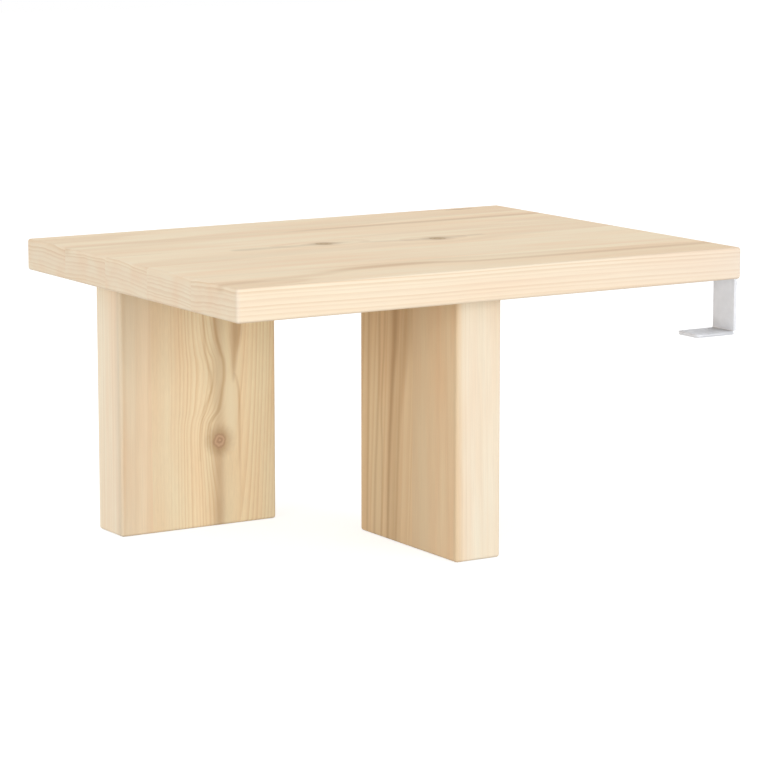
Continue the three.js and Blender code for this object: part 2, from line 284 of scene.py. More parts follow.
def combine(obj, tools, operation="DIFFERENCE"):
    """Cuts the tools out of obj, or joins them to it, and uses them up."""
    for tool in tools:
        before = len(obj.data.vertices)
        only(obj)
        boolean = obj.modifiers.new("boolean", "BOOLEAN")
        boolean.operation = operation
        boolean.solver = "EXACT"
        boolean.object = tool
        bpy.ops.object.modifier_apply(modifier=boolean.name)
        if len(obj.data.vertices) in (0, before):
            raise RuntimeError(f"{tool.name} doesn't change {obj.name}")
        bpy.data.objects.remove(tool, do_unlink=True)
    bpy.ops.object.mode_set(mode="EDIT")
    sewn()


def copied(source, name, matrix=Matrix()):
    """A copy with a mesh of its own, carried by a matrix."""
    piece = source.copy()
    piece.data = source.data.copy()
    piece.name = name
    piece.data.transform(matrix)
    bpy.context.collection.objects.link(piece)
    return piece


def used_up(model):
    """Removes a model that only served to be copied."""
    bpy.data.objects.remove(model, do_unlink=True)


def finished(piece, node, material, smooth_angle=35):
    """Smooths a piece up to its sharp edges, gives it its material and lets it stand for its node."""
    only(piece)
    bpy.ops.object.shade_smooth_by_angle(angle=math.radians(smooth_angle))
    even = piece.modifiers.new("even shading", "WEIGHTED_NORMAL")
    even.keep_sharp = True
    bpy.ops.object.modifier_apply(modifier=even.name)
    piece.data.materials.clear()
    piece.data.materials.append(material)
    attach(piece, "root")
    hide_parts(node)


# Materials

# Settings that many nodes share
MULTIPLY = {"operation": "MULTIPLY"}
SMOOTH = {"interpolation_type": "SMOOTHSTEP"}
MIX = {"data_type": "RGBA"}
TINT = {"data_type": "RGBA", "blend_type": "MULTIPLY"}


def add_node(tree, kind, links=None, **settings):
    """Adds a shader node, sets it, fills its sockets with values or links, and gives its outputs."""
    made = tree.nodes.new("ShaderNode" + kind)
    for name, value in settings.items():
        setattr(made, name, value)
    for socket, value in (links or {}).items():
        if isinstance(value, bpy.types.NodeSocket):
            tree.links.new(value, made.inputs[socket])
        else:
            made.inputs[socket].default_value = value
    return made.outputs


def new_material(name):
    """An empty node material, and the function that adds nodes to it."""
    material = bpy.data.materials.new(name)
    material.use_nodes = True
    material.node_tree.nodes.clear()
    return material, partial(add_node, material.node_tree)


def rgba(colour):
    """A colour with full cover, as sockets take it."""
    return (*colour, 1)


# Each stave is cut from its own log, and all lengths here are in millimetres. heart is a point on the
# log's middle line and lean turns that line away from upright, so the rings run as in that board. tone
# tints the stave, heartwood what grew inside a radius, and lively fades the rings across a face. bend
# draws the grain sideways by its second curve, up the leg, times its first, across the leg.
LOGS = {
    "top_stave_1": dict(heart=(0, -175, -330), lean=(0, 90.5, 0.6), ring=3.9, wander=2.2, depth=0.6, seed=3),
    "top_stave_2": dict(
        heart=(0, -60, -380), lean=(0, 89.6, -0.3), ring=3.6, wander=1.6, depth=0.45, seed=11,
    ),
    "top_stave_3": dict(heart=(0, 25, -300), lean=(0, 90.3, 0.2), ring=3.7, wander=2.0, depth=0.45, seed=23),
    "top_stave_4": dict(heart=(0, 60, -350), lean=(0, 89.7, -0.4), ring=3.5, wander=1.8, depth=0.45, seed=37),
    "top_stave_5": dict(heart=(0, 170, -320), lean=(0, 90.4, 0.3), ring=3.8, wander=2.0, depth=0.5, seed=41),
    "rear_leg_stave_1": dict(
        heart=(-150, 0, 0), lean=(0.5, 0, 0), ring=7.0, wander=1.5, depth=0.3, seed=53,
        heartwood=(109, "#f0ece6"),
    ),
    "rear_leg_stave_2": dict(
        heart=(-103, 64.5, 0), lean=(-3.8, 0.8, 0), ring=3.5, wander=1.2, depth=0.8, seed=67,
        tone="#fffdf1",
        lively=[(-187, 0.15), (-176, 0.25), (-165, 0.6), (-150, 0.9), (-130, 1), (-121, 0.3), (-112, 0.15),
                (-102, 0.2), (-96, 0.8), (-60, 0.8)],
        bend=(
            [(-175, 0), (-150, 0.25), (-130, 0.8), (-120, 1), (-108, 0.5), (-100, 0)],
            [(0, -4), (60, -5), (80, -6.5), (90, -5), (98, -1), (108, 6), (124, 9.5), (141, 11), (160, 7),
             (176, 3), (200, 0), (229, -1)],
        ),
    ),
    "front_leg_stave_1": dict(
        heart=(60, 50, 0), lean=(3.0, 0, 0), ring=6.2, wander=1.6, depth=0.5, seed=71, tone="#e9ddcb",
    ),
    "front_leg_stave_2": dict(
        heart=(-130, -95, 0), lean=(0, -0.6, 0), ring=7.0, wander=2.0, depth=0.25, seed=83,
        tone="#f9f9fb", heartwood=(130, "#f4e8d6"),
    ),
}
TOP_TONE = "#f9f4ec"

# How fast the rings' drift, the blush and the hairs change across and along a log, per millimetre
DRIFT_SCALE = (1 / 30, 1 / 30, 1 / 260)
BLUSH_SCALE = (1 / 22, 1 / 22, 1 / 180)
HAIR_SCALE = (1.4, 1.4, 1 / 35)

# How fast the years' width changes, per millimetre of radius, and by how many years it shifts them
YEAR_PACE, YEAR_SPREAD = 0.11, 1.4

# The parts of a year's ring where late wood sets in and where it is deepest, and the least strength
# of a ring
LATE_FROM, LATE_TO = 0.25, 0.9
WEAKEST_RING = 0.35

# The rings show more on the top's ends and long edges: between which depths in mm, and by how much
RIM_IN, RIM_OUT, RIM_GAIN = 3, 0.5, 0.8

# Half the spread of a heartwood's border in mm
BORDER = 5

# The turn of a knot's own rings in radians per mm, how ragged its outline is in mm and how fast that
# changes, the soft borders of the knot and its halo in mm, how fully the knot covers the wood, and
# how long the rise round it is for its width
KNOT_PITCH = 1.6
KNOT_RAGGED, RAGGED_SCALE = 4.0, 0.22
KNOT_BORDER, HALO_WIDTH = 4, 14
KNOT_COVER = 0.95
KNOT_STRETCH = 0.45

# Knots: where the middle of the branch crosses the board, the way the branch runs, its radius, how far
# the rings rise round it and over what width, the tint of its wood and how strong its halo is
TOP_KNOT = dict(along=(0, 0, 0), radius=8.0, rise=4.0, width=17, tone="#fbffec", halo=0.45)
KNOTS = {
    "top_stave_3": [
        dict(TOP_KNOT, centre=(-46, 20.5, 257)),
        dict(TOP_KNOT, centre=(60, 0, 257)),
    ],
    "rear_leg_stave_2": [
        dict(centre=(-118.5, 82.5, 77.5), along=(90, 0, 0), radius=7.0, rise=4.0, width=15, halo=1.0),
    ],
}

# Darker or lighter figure on a seen face, and a few broad grey bands of painted shade on the legs' faces.
# line is the place across the grain, half the streak's half width and show its strength, each as one
# number or as (place along the grain, value) pairs. A streak fades between FADE_FROM of its face's fade
# and the whole of it, measured into the board.
TOP_FACE = dict(run=0, across=1, inward=2, face=257, fade=9)
FRONT_EDGE = dict(run=0, across=2, inward=1, face=-192.5, fade=4)
REAR_LEG_FACE = dict(run=2, across=0, inward=1, face=82.5, fade=12)
FRONT_LEG_FACE = dict(run=2, across=1, inward=0, face=-21.5, fade=14)
FRONT_LEG_EDGE = dict(run=2, across=0, inward=1, face=-157.5, fade=6)
LEFT_END = dict(
    run=1, across=2, inward=0, face=-252.5, fade=4, tint="#e1d7cd", blend="MIX", line=243, half=40, show=0.25,
)
BACK_STREAK = dict(
    TOP_FACE, tint="#ece1d6", line=[(-252, 112), (0, 113), (252, 115)],
    half=[(-252, 9), (252, 10)], show=[(-252, 0.6), (-60, 0.5), (40, 1.0), (200, 1.0), (252, 0.7)],
)
FADE_FROM = 0.3
STREAKS = {
    "top_stave_1": [
        dict(
            TOP_FACE, tint="#e8dccf",
            line=[(-252, -165), (-160, -152), (-68, -133), (18, -147), (130, -150), (252, -151)],
            half=[(-252, 10), (-68, 14), (18, 9), (252, 10)],
            show=[(-252, 0.6), (-160, 0.5), (-68, 1), (10, 0.75), (100, 0.8), (252, 0.7)],
        ),
        dict(
            FRONT_EDGE, tint="#e1d7cd", blend="MIX", line=243, half=60,
            show=[(-252, 0.3), (100, 0.4), (252, 0.6)],
        ),
        LEFT_END,
    ],
    "top_stave_2": [LEFT_END],
    "top_stave_3": [
        LEFT_END,
        dict(
            TOP_FACE, tint="#e8e5e1", line=[(-140, 20), (-48, 19.5), (-12, 24.5)],
            half=[(-140, 6), (-118, 11), (-60, 9), (-48, 12), (-12, 6)],
            show=[(-140, 0), (-128, 0.85), (-100, 0.75), (-60, 0.8), (-48, 1), (-30, 0.6), (-12, 0)],
        ),
        dict(
            TOP_FACE, tint="#e8e5e1",
            line=[(-14, 11.5), (10, 7), (38, 2.5), (62, 2.5), (104, 5), (114, 5.5)],
            half=[(-14, 8), (38, 9), (62, 13), (85, 9), (114, 8)],
            show=[(-14, 0), (0, 0.5), (38, 0.75), (62, 1), (85, 0.7), (102, 0.8), (114, 0)],
        ),
    ],
    "top_stave_4": [BACK_STREAK, LEFT_END],
    "top_stave_5": [
        BACK_STREAK,
        LEFT_END,
        dict(
            TOP_FACE, tint="#c9b8a8", line=[(184, 181), (216, 180)], half=[(184, 3), (200, 4), (216, 3)],
            show=[(184, 0), (200, 1), (216, 0)],
        ),
    ],
    "rear_leg_stave_1": [
        # Painted shade: a broad grey darkening along the left edge of the rear leg's front face, where the
        # left softbox lights it most.
        dict(REAR_LEG_FACE, tint="#f3f3f3", line=-217, half=32, show=1),
    ],
    "rear_leg_stave_2": [
        # Painted shade: the next two broad grey bands darken the left part and the middle of this face, to
        # even out the left softbox's light across it.
        dict(REAR_LEG_FACE, tint="#ecebed", line=-195, half=98, show=1),
        dict(REAR_LEG_FACE, tint="#efeeec", line=-117, half=27, show=1),
        dict(
            REAR_LEG_FACE, tint="#f3e6c6", blend="MIX", line=[(66, -106), (105, -106), (142, -104)],
            half=[(66, 4), (100, 10), (142, 4)], show=[(66, 0), (100, 0.6), (142, 0)],
        ),
        dict(
            REAR_LEG_FACE, tint="#e1d6cf", line=[(0, -119), (76, -119.5)], half=9,
            show=[(0, 0.85), (18, 1), (30, 0.8), (64, 0.8), (76, 0.5)],
        ),
        dict(
            REAR_LEG_FACE, tint="#e8ddd3",
            line=[(72, -131), (90, -129.5), (98, -125.5), (108, -118.5), (124, -115.5), (141, -113.5),
                (160, -117.5), (176, -121.5), (229, -125)], half=[(72, 3.2), (229, 3.6)],
            show=[(72, 0), (86, 0.6), (110, 0.9), (160, 1), (229, 0.8)],
        ),
        dict(
            REAR_LEG_FACE, tint="#eee6de",
            line=[(60, -138.5), (85, -137.5), (104, -134.5), (119, -128.5), (129, -126.5), (146, -129.5),
                (160, -132.5), (229, -135)], half=[(60, 2.8), (229, 3)],
            show=[(60, 0), (90, 0.7), (150, 0.9), (229, 0.5)],
        ),
        dict(
            REAR_LEG_FACE, tint="#d9cdc3", line=[(128, -104), (150, -103), (179, -101), (229, -99)],
            half=[(128, 2.5), (150, 5), (179, 10), (229, 12)],
            show=[(128, 0), (140, 0.6), (160, 0.9), (229, 1)],
        ),
        dict(
            REAR_LEG_FACE, tint="#ebe2d9",
            line=[(20, -97), (70, -98), (90, -98), (111, -98), (129, -100), (138, -104)],
            half=[(20, 2), (138, 2.4)], show=[(20, 0), (60, 0.6), (110, 0.9), (138, 0)],
        ),
    ],
    "front_leg_stave_1": [
        dict(
            FRONT_LEG_FACE, tint="#e1d9d2",
            line=[(0, -46.5), (80, -49.5), (115, -52), (150, -55), (180, -58.5), (229, -60.5)],
            half=[(0, 4), (115, 5), (180, 8), (229, 10)], show=[(0, 0.9), (115, 1), (229, 0.8)],
        ),
        dict(
            FRONT_LEG_FACE, tint="#e6dfd8",
            line=[(0, -60.5), (60, -63), (115, -66.5), (180, -75), (229, -80)],
            half=[(0, 4), (115, 6), (180, 16), (229, 22)],
            show=[(0, 0.3), (115, 0.6), (180, 0.8), (229, 0.9)],
        ),
        dict(
            FRONT_LEG_FACE, tint="#e9e1da",
            line=[(0, -24), (60, -26.5), (110, -30), (150, -32.5), (229, -33)], half=[(0, 3.6), (229, 3.8)],
            show=0.8,
        ),
        dict(
            FRONT_LEG_FACE, tint="#ebe4de",
            line=[(0, -35.5), (80, -37.5), (110, -36.5), (140, -38), (180, -41.5), (229, -43.5)], half=3,
            show=0.8,
        ),
        dict(
            FRONT_LEG_FACE, tint="#ebe4de", line=[(0, -12.5), (229, -16)], half=3.4,
            show=[(0, 0.9), (229, 0.7)],
        ),
        dict(
            FRONT_LEG_FACE, tint="#efece8", line=[(0, -56), (229, -58)], half=15, show=[(0, 1), (229, 0.8)],
        ),
    ],
    "front_leg_stave_2": [
        # Painted shade: a broad grey band darkens the middle of the front leg's left face.
        dict(FRONT_LEG_FACE, tint="#f4f3f2", line=-88, half=50, show=1),
        dict(FRONT_LEG_EDGE, tint="#f6f9fb", line=1, half=80, show=1),
    ],
}


def traced(node, run, points):
    """A smooth function along run, drawn through (place, value) points, or the one number it stays at."""
    if isinstance(points, (int, float)):
        return points
    places, values = zip(*points)
    low, high = min(values), max(values)
    share = node("MapRange", {"Value": run, "From Min": places[0], "From Max": places[-1]})[0]
    level = node("FloatCurve", {"Value": share})[0]
    curve = level.node.mapping.curves[0]
    for i, (place, value) in enumerate(points):
        spot = ((place - places[0]) / (places[-1] - places[0]), (value - low) / (high - low))
        if i in (0, len(points) - 1):
            curve.points[0 if i == 0 else -1].location = spot
        else:
            curve.points.new(*spot)
    level.node.mapping.update()
    return node("MapRange", {"Value": level, "To Min": low, "To Max": high}, clamp=False)[0]


def streak_mask(node, place, streak):
    """How strongly a streak shows: most along its middle, less to its sides and into the board."""
    run = place[streak["run"]]
    middle = traced(node, run, streak["line"])
    half = traced(node, run, streak["half"])
    show = traced(node, run, streak["show"])
    offs = []
    for axis, level in (("across", middle), ("inward", streak["face"])):
        off = node("Math", {0: place[streak[axis]], 1: level}, operation="SUBTRACT")[0]
        offs.append(node("Math", {0: off}, operation="ABSOLUTE")[0])
    side = node("MapRange", {"Value": offs[0], "From Max": half, "To Min": 1, "To Max": 0}, **SMOOTH)[0]
    fade = streak["fade"]
    inward = node(
        "MapRange",
        {"Value": offs[1], "From Min": FADE_FROM * fade, "From Max": fade, "To Min": 1, "To Max": 0},
    )[0]
    mask = node("Math", {0: side, 1: show}, **MULTIPLY)[0]
    return node("Math", {0: mask, 1: inward}, use_clamp=True, **MULTIPLY)[0]


def knot_shape(node, place, knot, stretch):
    """How far the rings rise round a knot, and the ragged distance from the middle of its branch."""
    turn = [math.radians(v) for v in knot["along"]]
    at_knot = node(
        "Mapping", {"Vector": place, "Location": knot["centre"], "Rotation": turn}, vector_type="TEXTURE",
    )[0]
    flat = node("VectorMath", {0: at_knot, 1: (1, 1, 0)}, **MULTIPLY)[0]
    longer = node("VectorMath", {0: flat, 1: stretch}, **MULTIPLY)[0]
    reach = node("VectorMath", {0: longer}, operation="LENGTH")["Value"]
    rise = node(
        "MapRange",
        {"Value": reach, "From Max": 2 * knot["width"], "To Min": knot["rise"], "To Max": 0},
        interpolation_type="SMOOTHERSTEP",
    )[0]
    ragged = node("TexNoise", {"Vector": flat, "Scale": RAGGED_SCALE, "Detail": 3.0})[0]
    span = node("VectorMath", {0: flat}, operation="LENGTH")["Value"]
    span = node("Math", {0: ragged, 1: KNOT_RAGGED, 2: span}, operation="MULTIPLY_ADD")[0]
    return rise, span


def knotted(node, colour, knot, span, wood):
    """The wood's colour with a knot laid over it: dark rings round the branch and a resinous halo."""
    # The first dark ring lies 1 mm outside the knot, and the others follow inwards.
    size = knot["radius"]
    first = QUARTER - KNOT_PITCH * (size + 1)
    rings = node("Math", {0: span, 1: KNOT_PITCH, 2: first}, operation="MULTIPLY_ADD")[0]
    rings = node("Math", {0: rings}, operation="SINE")[0]
    rings = node("MapRange", {"Value": rings, "From Min": -1, "To Max": 0.8})[0]
    branch = node("Mix", {"Factor": rings, "A": rgba(wood.knot), "B": rgba(wood.knot_ring)}, **MIX)["Result"]
    if "tone" in knot:
        toned = rgba(linear(knot["tone"]))
        branch = node("Mix", {"Factor": 1.0, "A": branch, "B": toned}, **TINT)["Result"]
    edge = size - KNOT_BORDER / 8
    outer = edge + KNOT_BORDER
    inside = node(
        "MapRange",
        {"Value": span, "From Min": edge, "From Max": outer, "To Min": KNOT_COVER, "To Max": 0},
        **SMOOTH,
    )[0]
    far = size + HALO_WIDTH
    halo = node(
        "MapRange",
        {"Value": span, "From Min": size, "From Max": far, "To Min": knot["halo"], "To Max": 0},
        **SMOOTH,
    )[0]
    colour = node("Mix", {"Factor": halo, "A": colour, "B": rgba(wood.halo)}, **TINT)["Result"]
    return node("Mix", {"Factor": inside, "A": colour, "B": branch}, **MIX)["Result"]


def pine(stave, wood):
    """Scots pine under a matt clear lacquer. Pale early wood deepens through each year's ring to a thin
    orange late wood line with a crisp outer edge, and knots are red-brown with rings of their own."""
    log = LOGS[stave]
    on_top = stave.startswith("top")
    material, node = new_material(f"lacquered pine {stave}")
    metres = node("TexCoord")["Object"]
    place = node("VectorMath", {0: metres, 3: 1 / MM}, operation="SCALE")[0]
    along_axes = node("SeparateXYZ", {0: place})

    grain = place
    if "bend" in log:
        across_the_leg, up_the_leg = log["bend"]
        share = traced(node, along_axes["X"], across_the_leg)
        swerve = traced(node, along_axes["Z"], up_the_leg)
        shift = node("Math", {0: share, 1: swerve}, **MULTIPLY)[0]
        aside = node("CombineXYZ", {"X": shift})[0]
        grain = node("VectorMath", {0: place, 1: aside}, operation="SUBTRACT")[0]

    # In the log, Z runs along the grain and the heart lies on the Z axis.
    lean = [math.radians(v) for v in log["lean"]]
    in_log = node(
        "Mapping", {"Vector": grain, "Location": log["heart"], "Rotation": lean}, vector_type="TEXTURE",
    )[0]
    across = node("VectorMath", {0: in_log, 1: (1, 1, 0)}, **MULTIPLY)[0]
    radius = node("VectorMath", {0: across}, operation="LENGTH")["Value"]
    grown = radius

    # The rings wander slowly along the grain and a little faster across it.
    drift = node("Mapping", {"Vector": in_log, "Location": (log["seed"], 0, 0), "Scale": DRIFT_SCALE})[0]
    wander = node("TexNoise", {"Vector": drift, "Scale": 1.0, "Detail": 2.0, "Roughness": 0.45})[0]
    wandered = node(
        "MapRange", {"Value": wander, "To Min": -log["wander"], "To Max": log["wander"]}, clamp=False,
    )[0]
    radius = node("Math", {0: radius, 1: wandered}, operation="ADD")[0]

    # Round a knot the rings rise along the branch, so they part and close again round it.
    knots = []
    stretch = (KNOT_STRETCH, 1, 0) if on_top else (1, KNOT_STRETCH, 0)
    for knot in KNOTS.get(stave, []):
        rise, span = knot_shape(node, place, knot, stretch)
        radius = node("Math", {0: radius, 1: rise}, operation="SUBTRACT")[0]
        knots.append((knot, span))

    # Years are of uneven width, and each has its own strength.
    pace = node("Math", {0: radius, 1: YEAR_PACE}, **MULTIPLY)[0]
    uneven = node("TexNoise", {"W": pace, "Scale": 1.0, "Detail": 1.0}, noise_dimensions="1D")[0]
    count = node("Math", {0: radius, 1: 1 / log["ring"]}, **MULTIPLY)[0]
    count = node("Math", {0: uneven, 1: YEAR_SPREAD, 2: count}, operation="MULTIPLY_ADD")[0]
    season = node("Math", {0: count}, operation="FRACT")[0]
    year = node("Math", {0: count}, operation="FLOOR")[0]
    luck = node("TexWhiteNoise", {"W": year}, noise_dimensions="1D")[0]
    strength = node("MapRange", {"Value": luck, "To Min": WEAKEST_RING})[0]
    deepen = node("MapRange", {"Value": season, "From Min": LATE_FROM, "From Max": LATE_TO}, **SMOOTH)[0]
    close = node("MapRange", {"Value": season, "From Min": LATE_TO, "To Min": 1, "To Max": 0}, **SMOOTH)[0]
    late = node("Math", {0: deepen, 1: close}, **MULTIPLY)[0]
    late = node("Math", {0: late, 1: strength}, **MULTIPLY)[0]
    # Across some faces the rings fade, and on the top they are strongest along the rim.
    if "lively" in log:
        lively = traced(node, along_axes["X"], log["lively"])
        late = node("Math", {0: late, 1: lively}, **MULTIPLY)[0]
    if on_top:
        rims = []
        for axis, half in (("X", CAD_HIGH[0] / MM), ("Y", CAD_HIGH[1] / MM)):
            out = node("Math", {0: along_axes[axis]}, operation="ABSOLUTE")[0]
            rims.append(node(
                "MapRange", {"Value": out, "From Min": half - RIM_IN, "From Max": half - RIM_OUT},
            )[0])
        rim = node("Math", {0: rims[0], 1: rims[1]}, operation="MAXIMUM")[0]
        gain = node("Math", {0: rim, 1: RIM_GAIN, 2: 1.0}, operation="MULTIPLY_ADD")[0]
        late = node("Math", {0: late, 1: gain}, **MULTIPLY)[0]

    # Fibres: hair-thin lines along the grain, drawn a little coarser than the real 0.05 mm so they show
    hairs = node("Mapping", {"Vector": in_log, "Scale": HAIR_SCALE})[0]
    fibre = node("TexNoise", {"Vector": hairs, "Scale": 1.0, "Detail": 3.0, "Roughness": 0.6})[0]
    # Blush: a slow pink drift of the pale wood
    clouds = node("Mapping", {"Vector": in_log, "Scale": BLUSH_SCALE})[0]
    blush = node("TexNoise", {"Vector": clouds, "Scale": 1.0, "Detail": 2.0})[0]

    # Colour: pale wood and orange rings, then the tints of the stave, its heartwood, blush and fibres
    shade = node("Math", {0: late, 1: log["depth"] * wood.ring_depth}, **MULTIPLY)[0]
    colour = node(
        "Mix", {"Factor": shade, "A": rgba(wood.early_wood), "B": rgba(wood.late_wood)}, **MIX,
    )["Result"]
    toned = rgba(linear(log.get("tone", TOP_TONE if on_top else "#ffffff")))
    colour = node("Mix", {"Factor": 1.0, "A": colour, "B": toned}, **TINT)["Result"]
    if "heartwood" in log:
        edge, wood_or_shade_tint = log["heartwood"]
        inner = node(
            "MapRange",
            {"Value": grown, "From Min": edge - BORDER, "From Max": edge + BORDER, "To Min": 1, "To Max": 0},
            **SMOOTH,
        )[0]
        wood_or_shade_tint = rgba(linear(wood_or_shade_tint))
        colour = node("Mix", {"Factor": inner, "A": colour, "B": wood_or_shade_tint}, **TINT)["Result"]
    blushed = node("MapRange", {"Value": blush, "From Min": 0.35, "From Max": 0.7, "To Max": 0.5})[0]
    colour = node("Mix", {"Factor": blushed, "A": colour, "B": rgba(wood.blush)}, **TINT)["Result"]
    hatching = node(
        "MapRange", {"Value": fibre, "From Min": 0.3, "From Max": 0.7, "To Min": 0.96, "To Max": 1.03},
    )[0]
    colour = node("VectorMath", {0: colour, 3: hatching}, operation="SCALE")[0]

    # Over these lie the stave's streaks, some of them broad bands of painted shade, and its knots on top.
    for streak in STREAKS.get(stave, []):
        shown = streak_mask(node, along_axes, streak)
        wood_or_shade_tint = rgba(linear(streak["tint"]))
        way = dict(TINT, blend_type=streak.get("blend", "MULTIPLY"))
        colour = node("Mix", {"Factor": shown, "A": colour, "B": wood_or_shade_tint}, **way)["Result"]
    for knot, span in knots:
        colour = knotted(node, colour, knot, span, wood)

    # Late wood and fibres stand a hair proud, and late wood shines a little more.
    height = node("Math", {0: fibre, 1: 0.5, 2: late}, operation="MULTIPLY_ADD")[0]
    relief = node("Bump", {"Height": height, "Strength": 0.5, "Distance": 0.04 * MM})[0]
    gloss = node("MapRange", {"Value": late, "To Min": wood.roughness, "To Max": wood.roughness - 0.08})[0]
    surface = {
        "Base Color": colour, "Roughness": gloss, "Normal": relief,
        "IOR": 1.5, "Specular IOR Level": wood.sheen,
    }
    shader = node("BsdfPrincipled", surface)[0]
    node("OutputMaterial", {"Surface": shader})
    return material


def satin_steel(steel):
    """Flat bar of mild steel, drawn, zinc plated and left satin: even pale grey, with a fine grain along
    the bar that spreads its reflections across it."""
    material, node = new_material("satin zinc plated steel bar")
    place = node("TexCoord")["Object"]
    along_bar = node("Mapping", {"Vector": place, "Scale": (60, 4000, 60)})[0]
    lines = node("TexNoise", {"Vector": along_bar, "Scale": 1.0, "Detail": 2.0})[0]
    spangle = node("TexNoise", {"Vector": place, "Scale": 90.0, "Detail": 3.0})[0]
    gloss = node(
        "MapRange",
        {"Value": lines, "To Min": steel.bar_roughness - 0.04, "To Max": steel.bar_roughness + 0.04},
    )[0]
    shade = node(
        "MapRange", {"Value": spangle, "From Min": 0.3, "From Max": 0.7, "To Min": 0.96, "To Max": 1.03},
    )[0]
    colour = node("VectorMath", {0: list(steel.bar_colour), 3: shade}, operation="SCALE")[0]
    relief = node("Bump", {"Height": lines, "Strength": 0.25, "Distance": 0.01 * MM})[0]
    across_the_bar = node("CombineXYZ", {"Y": 1})[0]
    surface = {
        "Base Color": colour, "Metallic": 1.0, "Roughness": gloss, "Normal": relief,
        "Anisotropic": 0.9, "Tangent": across_the_bar,
    }
    shader = node("BsdfPrincipled", surface)[0]
    node("OutputMaterial", {"Surface": shader})
    return material


def mottled_metal(name, metal, patches, gloss, shades, bumps=None):
    """A metal whose sheen and shade drift in small patches, with a cast skin's relief if bumps says so."""
    material, node = new_material(name)
    place = node("TexCoord")["Object"]
    mottle = node("TexNoise", {"Vector": place, **patches})[0]
    gloss = node("MapRange", {"Value": mottle, "To Min": gloss[0], "To Max": gloss[1]})[0]
    shade = node(
        "MapRange",
        {"Value": mottle, "From Min": 0.3, "From Max": 0.7, "To Min": shades[0], "To Max": shades[1]},
    )[0]
    colour = node("VectorMath", {0: list(metal), 3: shade}, operation="SCALE")[0]
    surface = {"Base Color": colour, "Metallic": 1.0, "Roughness": gloss}
    if bumps:
        surface["Normal"] = node("Bump", {"Height": mottle, **bumps})[0]
    shader = node("BsdfPrincipled", surface)[0]
    node("OutputMaterial", {"Surface": shader})
    return material


def plated_steel(steel):
    """Turned steel with a thin bright zinc coat, the finish of small screws and cam bolts."""
    return mottled_metal(
        "bright zinc plated steel", steel.plated_colour, {"Scale": 500.0, "Detail": 2.0},
        gloss=(0.22, 0.38), shades=(0.93, 1.04),
    )


def cast_zinc(steel):
    """Die-cast zinc alloy, tumbled: dull grey with a faint mottle from the mould."""
    return mottled_metal(
        "tumbled die cast zinc", steel.cast_colour, {"Scale": 700.0, "Detail": 4.0, "Roughness": 0.6},
        gloss=(0.42, 0.58), shades=(0.9, 1.06), bumps={"Strength": 0.4, "Distance": 0.03 * MM},
    )


def beech(wood):
    """Steamed beech, pressed and fluted: even pink-brown with short dark ray flecks along the dowel."""
    material, node = new_material("steamed beech")
    place = node("TexCoord")["Object"]
    flecks = node("Mapping", {"Vector": place, "Scale": (2200, 2200, 400)})[0]
    fleck = node("TexNoise", {"Vector": flecks, "Scale": 1.0, "Detail": 2.0})[0]
    dark = node("MapRange", {"Value": fleck, "From Min": 0.58, "From Max": 0.7, "To Max": 0.7})[0]
    colour = node(
        "Mix", {"Factor": dark, "A": rgba(wood.beech), "B": rgba(wood.beech_fleck)}, **MIX,
    )["Result"]
    relief = node("Bump", {"Height": fleck, "Strength": 0.3, "Distance": 0.05 * MM})[0]
    shader = node("BsdfPrincipled", {"Base Color": colour, "Roughness": 0.7, "Normal": relief})[0]
    node("OutputMaterial", {"Surface": shader})
    return material


# What a user would change

class WoodSettings(bpy.types.PropertyGroup):
    """Sizes and colours of the pine boards and the beech dowels."""

    edge_radius: bpy.props.FloatProperty(
        name="Edge radius", description="Rounding of the top's and the legs' edges",
        default=2.5 * MM, min=0.5 * MM, max=6 * MM, precision=4, unit="LENGTH",
    )
    early_wood: bpy.props.FloatVectorProperty(
        name="Early wood", description="Pale wood that grows in spring",
        default=linear("#faecd2"), min=0, max=1, subtype="COLOR",
    )
    late_wood: bpy.props.FloatVectorProperty(
        name="Late wood", description="Dense orange wood that closes each year's ring",
        default=linear("#dcb888"), min=0, max=1, subtype="COLOR",
    )
    blush: bpy.props.FloatVectorProperty(
        name="Blush", description="Slow pink drift over the pale wood",
        default=linear("#fbe6d8"), min=0, max=1, subtype="COLOR",
    )
    knot: bpy.props.FloatVectorProperty(
        name="Knot", description="Middle of a knot",
        default=linear("#c8a788"), min=0, max=1, subtype="COLOR",
    )
    knot_ring: bpy.props.FloatVectorProperty(
        name="Knot rings", description="Dark rings inside a knot",
        default=linear("#a98769"), min=0, max=1, subtype="COLOR",
    )
    halo: bpy.props.FloatVectorProperty(
        name="Knot halo", description="Tint of the resinous wood round a knot",
        default=linear("#dcd2c9"), min=0, max=1, subtype="COLOR",
    )
    ring_depth: bpy.props.FloatProperty(
        name="Ring contrast", description="How strongly the rings show",
        default=0.6, min=0, max=1, subtype="FACTOR",
    )
    roughness: bpy.props.FloatProperty(
        name="Lacquer roughness", description="How widely the clear lacquer scatters its reflections",
        default=0.55, min=0.1, max=1, subtype="FACTOR",
    )
    sheen: bpy.props.FloatProperty(
        name="Lacquer sheen", description="Strength of the matt lacquer's reflections",
        default=0.25, min=0, max=1, subtype="FACTOR",
    )
    beech: bpy.props.FloatVectorProperty(
        name="Beech", description="Colour of the dowels",
        default=linear("#d9b48a"), min=0, max=1, subtype="COLOR",
    )
    beech_fleck: bpy.props.FloatVectorProperty(
        name="Beech flecks", description="Short dark rays in the dowels",
        default=linear("#a9794f"), min=0, max=1, subtype="COLOR",
    )


